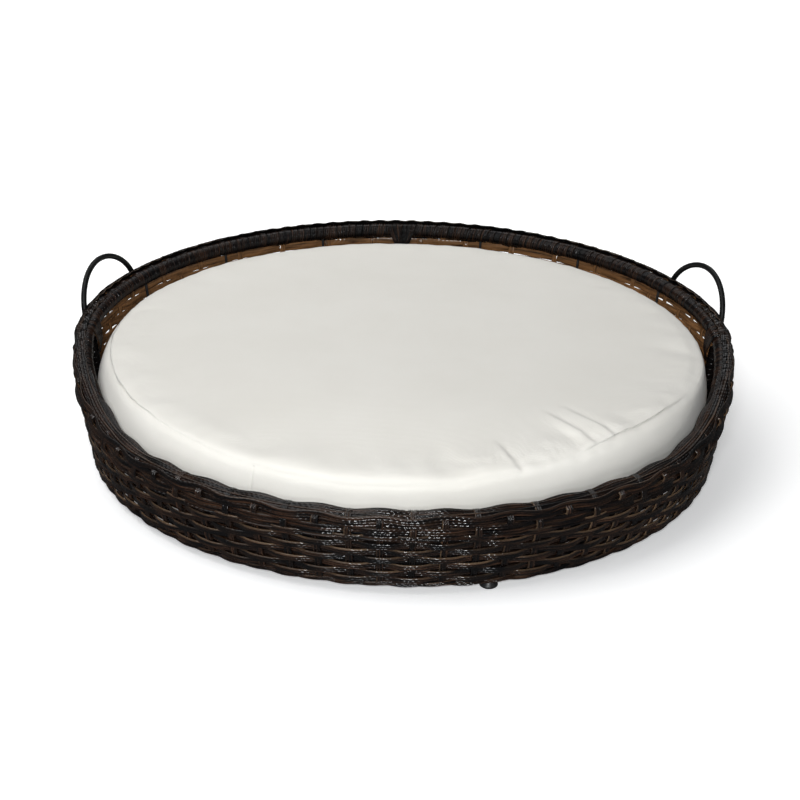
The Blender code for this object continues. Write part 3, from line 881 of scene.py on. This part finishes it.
def make_upright_rods(material):
    """The thin rods, each along its packed one and on into the rim."""
    for name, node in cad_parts.items():
        if not name.startswith("upright"):
            continue
        turn, shift = node.matrix_world.to_3x3(), node.matrix_world.translation
        places = coordinates(node.data) @ array(turn).T + array(shift)
        height = places[:, 2]
        foot = places[height < height.min() + ROD_END].mean(0)
        head = places[height > height.max() - ROD_END].mean(0)
        length = norm(head - foot) + ROD_EXTRA
        line = foot + unit(head - foot) * linspace(0, length, 12)[:, None]
        settle(tube(name + "_rod", line, ROD_RADIUS, 12, material), "root", "frame_steel", name)


def make_hoop(material):
    low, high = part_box("base_hoop")
    radius = (high.z - low.z) / 2
    line = at(high.x - radius, arange(240) * 1.5, (low.z + high.z) / 2)
    hoop = tube("base_tube_ring", line, radius, 20, material, closed=True)
    settle(hoop, "root", "frame_steel", "base_hoop")


def make_floor(material):
    """The woven floor panel, and the twisted edge that finishes it."""
    reach = FLOOR_RADIUS - 0.004
    count = int(reach // FLOOR_PITCH)
    for name, turned in (("floor_strands_across", False), ("floor_strands_along", True)):
        strands = Strands()
        for line in range(-count, count + 1):
            offset = line * FLOOR_PITCH
            half = sqrt(max(0.0, reach ** 2 - offset ** 2))
            if half < FLOOR_PITCH:
                continue
            n = int(2 * half / FLOOR_PITCH * 2)
            run = linspace(-half, half, n)
            rise = 0.0007 * cos(pi * (run / FLOOR_PITCH + line)) * (1 if turned else -1)
            side = offset + wander(n, 0.00025, 5, False)
            flat = (side, run) if turned else (run, side)
            across = [-1.0, 0, 0] if turned else [0, 1.0, 0]
            strands.lay(stack([*flat, FLOOR_HEIGHT + rise], -1), across, 0.0094, 0.0011, 1)
        settle(strands.make(name, material), "root", "floor_wicker", "floor_weave")
    strands = Strands()
    bearing = arange(0, 360, 1.0)
    lay_twisted_pair(strands, reach - 0.001, bearing, FLOOR_HEIGHT + 0.0004, radians(bearing * 60),
                     0.0016, 0.0013, 0.0, 0.004, 0.0016, 2)
    settle(strands.make("floor_edge_twist", material), "root", "floor_wicker", "floor_weave")


# ---- cushion

# Each rise or dip round the cushion: (bearing, spread, size).
SEAM_DIP = (-8.0, 20.0, -0.0145)
SEAM_HUMP = (45.0, 16.0, 0.012)
SOFT_SIDE = (-78.0, 22.0, 1.0)
PUCKERED = (26.0, 30.0, 0.6)
SIDE_SEAM_BEARING = -26.3


def bump_at(bearing, bump):
    """A smooth rise or dip round the rim: (bearing, spread, size)."""
    away = (np.asarray(bearing, float) - bump[0] + 180.0) % 360.0 - 180.0
    return bump[2] * exp(-0.5 * (away / bump[1]) ** 2)


def seam_height(bearing):
    bumps = bump_at(bearing, SEAM_DIP) + bump_at(bearing, SEAM_HUMP) + bump_at(bearing, SOFT_SIDE) * 0.0035
    return SEAM_HEIGHT - 0.001 + bumps


ZIP_HEIGHT = 0.09
ZIP_FROM = 127.0
ZIP_TO = 233.0
ZIP_TAPE_HALF = 0.0066
TOP_RINGS = 46
BAND_RINGS = 36
UNDER_RINGS = 22


def cushion_outline(bearing):
    """Rings of (radius, height) at one bearing, from the middle of the top to the middle of the bottom."""
    seam = seam_height(bearing)
    shift = seam - SEAM_HEIGHT
    edge = TOP_HEIGHT + 0.45 * shift
    full = CUSHION_RADIUS
    soft = bump_at(bearing, SOFT_SIDE)
    seam_radius = full - 0.0045 - max(0.0, shift) * 0.9 - 0.014 * soft
    top = smooth_path([(0, TOP_HEIGHT + 0.002), (full * 0.5, TOP_HEIGHT + 0.0015),
                       (full - 0.075, edge), (full - 0.03, edge - 0.001),
                       (full - 0.0125, max(edge - 0.005, seam + 0.0012)), (seam_radius, seam)], 20)
    mid = (seam + CUSHION_BOTTOM) / 2
    # The band swells everywhere but at the back, where the zip holds it flat.
    bulge = 0.0034 * (1 - smooth((from_front(bearing) - 95.0) / 24.0))
    corner = (full - 0.0085, CUSHION_BOTTOM + 0.0042)
    band = smooth_path([(seam_radius, seam), (full - 0.0005 - 0.0045 * soft, seam - 0.012 + 0.002 * soft),
                        (full + 0.0008 + bulge + 0.003 * soft, mid + 0.012 - 0.004 * soft),
                        (full - 0.0004 + 0.7 * bulge, mid - 0.02),
                        (full - 0.0035, CUSHION_BOTTOM + 0.016), corner], 12)
    under = smooth_path([corner, (full - 0.022, CUSHION_BOTTOM + 0.0006), (full - 0.05, CUSHION_BOTTOM),
                         (full * 0.5, CUSHION_BOTTOM), (0, CUSHION_BOTTOM)], 12)
    # The rings crowd towards both seams.
    to_seam = 1 - (1 - arange(TOP_RINGS) / TOP_RINGS) ** 1.7
    even = arange(BAND_RINGS) / BAND_RINGS
    along_band = even - 0.06 * sin(2 * pi * even)
    from_seam = (arange(UNDER_RINGS) / UNDER_RINGS) ** 1.7
    rings = []
    for line, share in ((top, to_seam), (band, along_band), (under, from_seam)):
        run = run_along(line)
        rings.append(stack([np.interp(share * run[-1], run, line[:, k]) for k in (0, 1)], -1))
    return np.vstack([*rings, under[-1:]])


def cushion_bearings():
    """Even steps, with extra ones close to the upright seam in the side band."""
    # The creases at the front right need close ones too.
    even = concatenate([arange(0, 14, 1.0), arange(14, 46, 0.32), arange(46, 360, 1.0)])
    close = SIDE_SEAM_BEARING + array([-0.62, -0.38, -0.2, -0.08, 0.0, 0.08, 0.2, 0.38, 0.62])
    close = close % 360
    keep = [b for b in even if np.min(np.abs(close - b)) > 0.3]
    return np.sort(concatenate([keep, close]))


def grid_mesh(name, points):
    """A closed mesh from a grid whose first and last rings each meet in a point."""
    spokes, rings = points.shape[:2]
    inner = points[:, 1:-1].reshape(-1, 3)
    ids = arange(len(inner)).reshape(spokes, rings - 2)
    after = np.roll(ids, -1, 0)
    quads = between_rings(ids.T).transpose(1, 0, 2).reshape(-1, 4)
    caps = [(len(inner), a, b) for a, b in zip(ids[:, 0], after[:, 0])]
    caps += [(len(inner) + 1, b, a) for a, b in zip(ids[:, -1], after[:, -1])]
    everything = np.vstack([inner, points[:, 0].mean(0), points[:, -1].mean(0)])
    return mesh_from(name, everything, quads, caps)


VOXEL = 0.0075
CLOTH = {"quality": 5, "mass": 0.25, "tension_stiffness": 30, "compression_stiffness": 30,
         "shear_stiffness": 12, "bending_stiffness": 0.6, "shrink_min": -0.012, "use_pressure": True,
         "uniform_pressure_force": 4.0, "vertex_group_mass": "resting"}
CLOTH_STEPS = 20
MOST_MOVE = 0.012
FOLD_SHARE = 0.4


def simulate_cover(cover):
    """Fills a remeshed copy of the cover by cloth pressure, and gives the movement of its points."""
    copy = add_to_scene("cover_simulation", cover.data.copy())
    bpy.context.view_layer.objects.active = copy
    copy.select_set(True)
    remesh = copy.modifiers.new("Remesh", "REMESH")
    remesh.mode = "VOXEL"
    remesh.voxel_size = VOXEL
    bpy.ops.object.modifier_apply(modifier="Remesh")
    before = coordinates(copy.data)
    resting = copy.vertex_groups.new(name="resting")
    resting.add(np.nonzero(before[:, 2] < CUSHION_BOTTOM + 0.012)[0].tolist(), 1.0, "REPLACE")
    cloth = copy.modifiers.new("Cloth", "CLOTH")
    for key, value in CLOTH.items():
        setattr(cloth.settings, key, value)
    cloth.settings.effector_weights.gravity = 0.0
    scene = bpy.context.scene
    for step in range(1, CLOTH_STEPS + 1):
        scene.frame_set(step)
    bpy.ops.object.modifier_apply(modifier="Cloth")
    after = coordinates(copy.data)
    bpy.data.objects.remove(copy)
    scene.frame_set(1)
    move = after - before
    length = norm(move, axis=1, keepdims=True)
    return before, move * minimum(1.0, MOST_MOVE / maximum(length, 1e-9))


def carry(points, before, move):
    """Moves points as the nearest simulated points move."""
    tree = KDTree(len(before))
    for i, place in enumerate(before):
        tree.insert(place, i)
    tree.balance()
    out = points.copy()
    for i, place in enumerate(points):
        near = tree.find_n(place, 8)
        weights = array([1 / (d + 0.002) ** 2 for _, _, d in near])
        out[i] += weights @ move[[j for _, j, _ in near]] / weights.sum()
    return out


def keep_folds(points, moved, bearings):
    """Leaves out the even part of the swelling, so that the folds stay on the fitted outline."""
    axes = stack([outward(bearings), sideways(bearings), at(0.0, bearings, 1.0)], 1)
    shift = np.einsum("src,sac->sra", (moved - points)[:-2].reshape(len(bearings), -1, 3), axes)
    shift -= shift.mean(0)
    shift *= (FOLD_SHARE + bump_at(bearings, PUCKERED))[:, None, None]
    out = points.copy()
    out[:-2] += np.einsum("sra,sac->src", shift, axes).reshape(-1, 3)
    return out


# Each crease: bearing and radius of its inner end, then of its outer end, and its height.
CREASES = (
    (40.8, 0.296, 38.6, 0.416, 0.0064),
    (35.4, 0.292, 34.4, 0.41, 0.0064),
    (18.3, 0.334, 18.9, 0.416, 0.0052),
    (28.5, 0.35, 27.5, 0.398, 0.0014),
    (12.5, 0.382, 14.0, 0.408, 0.0012),
    (128.0, 0.335, 121.0, 0.396, 0.0013),
    (-37.6, 0.4, -39.5, 0.424, 0.0012),
)
CREASE_EDGE = 0.0042
CREASE_FALL = 0.0115


def crease_depth(points):
    """How far the folds at the seam lift each point, as a negative depth.

    A fold rises steeply on one side, behind a shallow trough, and falls gently on the other.
    """
    depth = np.zeros(len(points))
    flat = points[:, :2]
    for near_bearing, near, far_bearing, far, size in CREASES:
        a, b = at(near, near_bearing, 0)[:2], at(far, far_bearing, 0)[:2]
        line = b - a
        t = np.clip(((flat - a) @ line) / (line @ line), 0, 1)
        offset = flat - (a + t[:, None] * line)
        away = norm(offset, axis=1)
        away *= np.sign(line[1] * offset[:, 0] - line[0] * offset[:, 1])
        fade = smooth(t / 0.6) * (1 - 0.6 * t ** 4)
        rise = 0.5 + 0.5 * tanh(away / CREASE_EDGE)
        fold = rise * exp(-maximum(away, 0) / CREASE_FALL)
        trough = 0.3 * exp(-((away + 1.3 * CREASE_EDGE) / (1.6 * CREASE_EDGE)) ** 2)
        depth -= size * fade * (fold - trough)
    return depth


def open_zip_slot(points):
    """Draws the side band in behind the zip's tapes, so that they lie in a shallow slot."""
    radius = np.hypot(points[:, 0], points[:, 1])
    bearing = np.degrees(np.arctan2(points[:, 0], -points[:, 1])) % 360.0
    ends = smooth((bearing - ZIP_FROM + 1.0) / 1.5) * smooth((ZIP_TO + 1.0 - bearing) / 1.5)
    height = smooth((ZIP_TAPE_HALF + 0.003 - np.abs(points[:, 2] - ZIP_HEIGHT)) / 0.0026)
    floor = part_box("zip_tape_lower")[1].y - 0.0028
    wanted = radius + (minimum(radius, floor) - radius) * ends * height * (radius > 0.3)
    points[:, :2] *= (wanted / maximum(radius, 1e-6))[:, None]


def seam_depth(away, sunk, width, raised, past, spread):
    """A groove along a seam, and the cloth that rises beside it, as depth below the surface."""
    return sunk * exp(-(away / width) ** 2) - raised * exp(-((away - past) / spread) ** 2)


def make_cushion(material):
    name = "cushion_fabric_cover"
    bearings = cushion_bearings()
    outlines = array([cushion_outline(b) for b in bearings])
    grid = at(outlines[..., 0], bearings[:, None], outlines[..., 1])
    cover = add_object(name, grid_mesh(name, grid), material)
    spokes, rings = len(bearings), grid.shape[1] - 2
    points = coordinates(cover.data)
    before, move = simulate_cover(cover)
    points = keep_folds(points, carry(points, before, move), bearings)
    move_points(cover.data, points)
    normals = coordinates(cover.data, "normal")
    shaped = points[:-2].reshape(spokes, rings, 3)
    depth = np.zeros((spokes, rings))
    # The seam's stitches pull the cloth into small puckers.
    pucker = sin(radians(bearings) * 97) + 0.7 * sin(radians(bearings) * 61 + 1.0)
    for ring in (TOP_RINGS - 1, TOP_RINGS + BAND_RINGS - 1):
        away = norm(shaped - shaped[:, ring:ring + 1], axis=2)
        depth += seam_depth(away, 0.0006, 0.0018, 0.0004, 0.006, 0.0045)
        depth += 0.00022 * pucker[:, None] * exp(-(away / 0.012) ** 2)
    side = from_front(bearings - SIDE_SEAM_BEARING) * radians(1) * CUSHION_RADIUS
    band = slice(TOP_RINGS - 1, TOP_RINGS + BAND_RINGS)
    depth[:, band] += seam_depth(side, 0.0009, 0.0013, 0.0004, 0.006, 0.004)[:, None]
    on_top = smooth((TOP_RINGS - 1 - arange(rings)) / 3.0)
    depth += crease_depth(points[:-2]).reshape(spokes, -1) * on_top
    points -= normals * concatenate([depth.ravel(), [0, 0]])[:, None]
    open_zip_slot(points)
    move_points(cover.data, points)
    settle(cover, "cushion", "cushion_fabric", "cushion_cover")


def make_foam(material):
    full = CUSHION_RADIUS - 0.016
    low, high = CUSHION_BOTTOM + 0.006, TOP_HEIGHT - 0.022
    edge = 0.012
    corner = [(full - edge + edge * sin(a), edge * cos(a)) for a in linspace(0, pi / 2, 6)]
    outline = [(0, high + 0.008), (full * 0.6, high + 0.007)]
    outline += [(r, high - edge + z) for r, z in corner]
    outline += [(r, low + edge - z) for r, z in corner[::-1]] + [(0, low)]
    foam = lathe("cushion_foam_block", outline, material, 96)
    settle(foam, "cushion", "cushion_foam", "cushion_foam")


ZIP_TOOTH = 0.0022


def make_zip_coil(material):
    """The zip's nylon coil."""
    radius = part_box("zip_tape_lower")[1].y + 0.0008
    turns = int(radians(ZIP_TO - ZIP_FROM) * radius / ZIP_TOOTH)
    turn = 2 * pi * arange(turns * 8) / 8
    path = at(radius + 0.0007 * sin(turn), linspace(ZIP_FROM, ZIP_TO, len(turn)),
              ZIP_HEIGHT + 0.0021 * cos(turn))
    settle(tube("zip_nylon_coil", path, 0.00048, 5, material), "cushion", "zip_tape")


# ---- stage

CAMERA_ELEVATION = 24.66
CAMERA_BEARING = -0.85
CAMERA_DISTANCE = 2.365
CAMERA_ROLL = 1.15
CAMERA_TARGET = (-0.0038, 0.0, 0.058)
CAMERA_LENS = 74.8


def aim(thing, place, target, roll=0.0):
    look = (Vector(target) - Vector(place)).to_track_quat("-Z", "Y").to_matrix().to_4x4()
    thing.matrix_world = Matrix.Translation(place) @ look @ Matrix.Rotation(radians(roll), 4, "Z")


def make_camera():
    lens = bpy.data.cameras.new("camera")
    lens.lens = CAMERA_LENS
    lens.sensor_width = 36.0
    lens.clip_end = 30.0
    camera = add_to_scene("camera", lens)
    lift = radians(CAMERA_ELEVATION)
    back = Vector(at(cos(lift), CAMERA_BEARING, sin(lift)))
    aim(camera, Vector(CAMERA_TARGET) + back * CAMERA_DISTANCE, CAMERA_TARGET, CAMERA_ROLL)
    bpy.context.scene.camera = camera


def add_softbox(name, place, target, size, power, colour=(1, 1, 1), spread=180.0):
    lamp = bpy.data.lights.new(name, "AREA")
    lamp.shape = "RECTANGLE"
    lamp.size, lamp.size_y = size
    lamp.energy = power
    lamp.color = colour
    lamp.spread = radians(spread)
    aim(add_to_scene(name, lamp), place, target)


# Each light: place, what it points at, size and power, then colour and spread where they matter.
SOFTBOXES = {
    "key_softbox": ((-1.3, -1.9, 2.4), (0, 0, 0.1), (1.8, 1.4), 12.0),
    "camera_flash": ((-0.1, -2.3, 1.22), (0, 0, 0.06), (0.34, 0.05), 31.0, (0.97, 0.985, 1.0)),
    "low_flash": ((-0.12, -2.5, 0.55), (0, 0, 0.06), (0.3, 0.04), 7.0, (0.94, 0.97, 1.0)),
    "top_softbox": ((-1.1, -0.5, 2.7), (-0.25, 0, 0), (2.2, 2.2), 46.0),
    "rear_floor_light": ((0, 2.7, 2.4), (0, 2.7, 0), (6.0, 2.4), 100.0, (1, 1, 1), 110.0),
}
WORLD_LIGHT = 0.1
FLOOR_GLOW = 0.25


def make_stage():
    pale = Surface("studio_floor", (0.97, 0.97, 0.97), 0.8)
    pale.shade({"Specular IOR Level": 0.1, "Emission Color": (1, 1, 1, 1), "Emission Strength": FLOOR_GLOW})
    bpy.ops.mesh.primitive_plane_add(size=50.0, location=(0, 0, -0.0004))
    floor = bpy.context.active_object
    floor.name = "studio_floor"
    wear(floor.data, pale.material)
    floor.visible_glossy = False
    world = bpy.data.worlds.new("studio")
    world.use_nodes = True
    background = world.node_tree.nodes["Background"]
    background.inputs["Color"].default_value = (1, 1, 1, 1)
    background.inputs["Strength"].default_value = WORLD_LIGHT
    bpy.context.scene.world = world
    for name, facts in SOFTBOXES.items():
        add_softbox(name, *facts)
    bpy.context.scene.view_settings.view_transform = "Standard"


def make_all():
    wall_wicker = wicker("wall_wicker", EDGE_TAN_AND_TOP_LIGHT, CARAMEL)
    border_wicker = wicker("border_wicker", (0.074, 0.049, 0.032), ESPRESSO, 0.27)
    rim_wicker = wicker("rim_wicker", (0.034, 0.024, 0.018), ESPRESSO, 0.15, 0.00012)
    for make, material, *slot_and_node in (
            (make_wall_rows, wall_wicker, "wall_wicker", "wall_weave"),
            (make_stakes, wall_wicker, "wall_wicker", "wall_weave"),
            (make_wall_packing, wall_wicker, "wall_wicker", "wall_weave"),
            (make_wall_foot, border_wicker, "wall_wicker", "wall_weave"),
            (make_border, border_wicker, "border_wicker", "rim_border"),
            (make_rim_edge, border_wicker, "border_wicker", "rim_border"),
            (make_rim_wrap, rim_wicker, "rim_wicker", "rim_wrap"),
            (make_handle_lashings, border_wicker, "border_wicker")):
        settle(make(material), "root", *slot_and_node)
    for name, bearing in POSTS.items():
        settle(make_post_winding(bearing, name, rim_wicker), "root", "rim_wicker", name)
    make_floor(wicker("floor_wicker", EDGE_TAN_AND_TOP_LIGHT, UMBER))

    frame_steel = powder_coat("frame_steel", (0.018, 0.017, 0.017), 0.5)
    make_handles(powder_coat("handle_steel", (0.0024, 0.0028, 0.003), 0.42))
    make_hoop(frame_steel)
    make_rim_tube(frame_steel)
    make_upright_rods(frame_steel)
    make_feet(moulded_plastic())
    zip_tape = canvas("zip_tape", (0.62, 0.6, 0.54), (0.48, 0.46, 0.41), 0.0006)
    zip_metal = brushed_metal()
    make_cushion(canvas("cushion_fabric", (0.715, 0.698, 0.65), (0.675, 0.656, 0.603)))
    make_foam(foam_cells())
    make_zip_coil(zip_tape)
    zip_finish = {"zip_tape_lower": zip_tape, "zip_tape_upper": zip_tape,
                  "zip_slider": zip_metal, "zip_pull": zip_metal}
    for name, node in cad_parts.items():
        if not node.hide_render:
            wear(node.data, zip_finish.get(name, frame_steel))
            node.data.shade_smooth()


make_all()
make_stage()
make_camera()
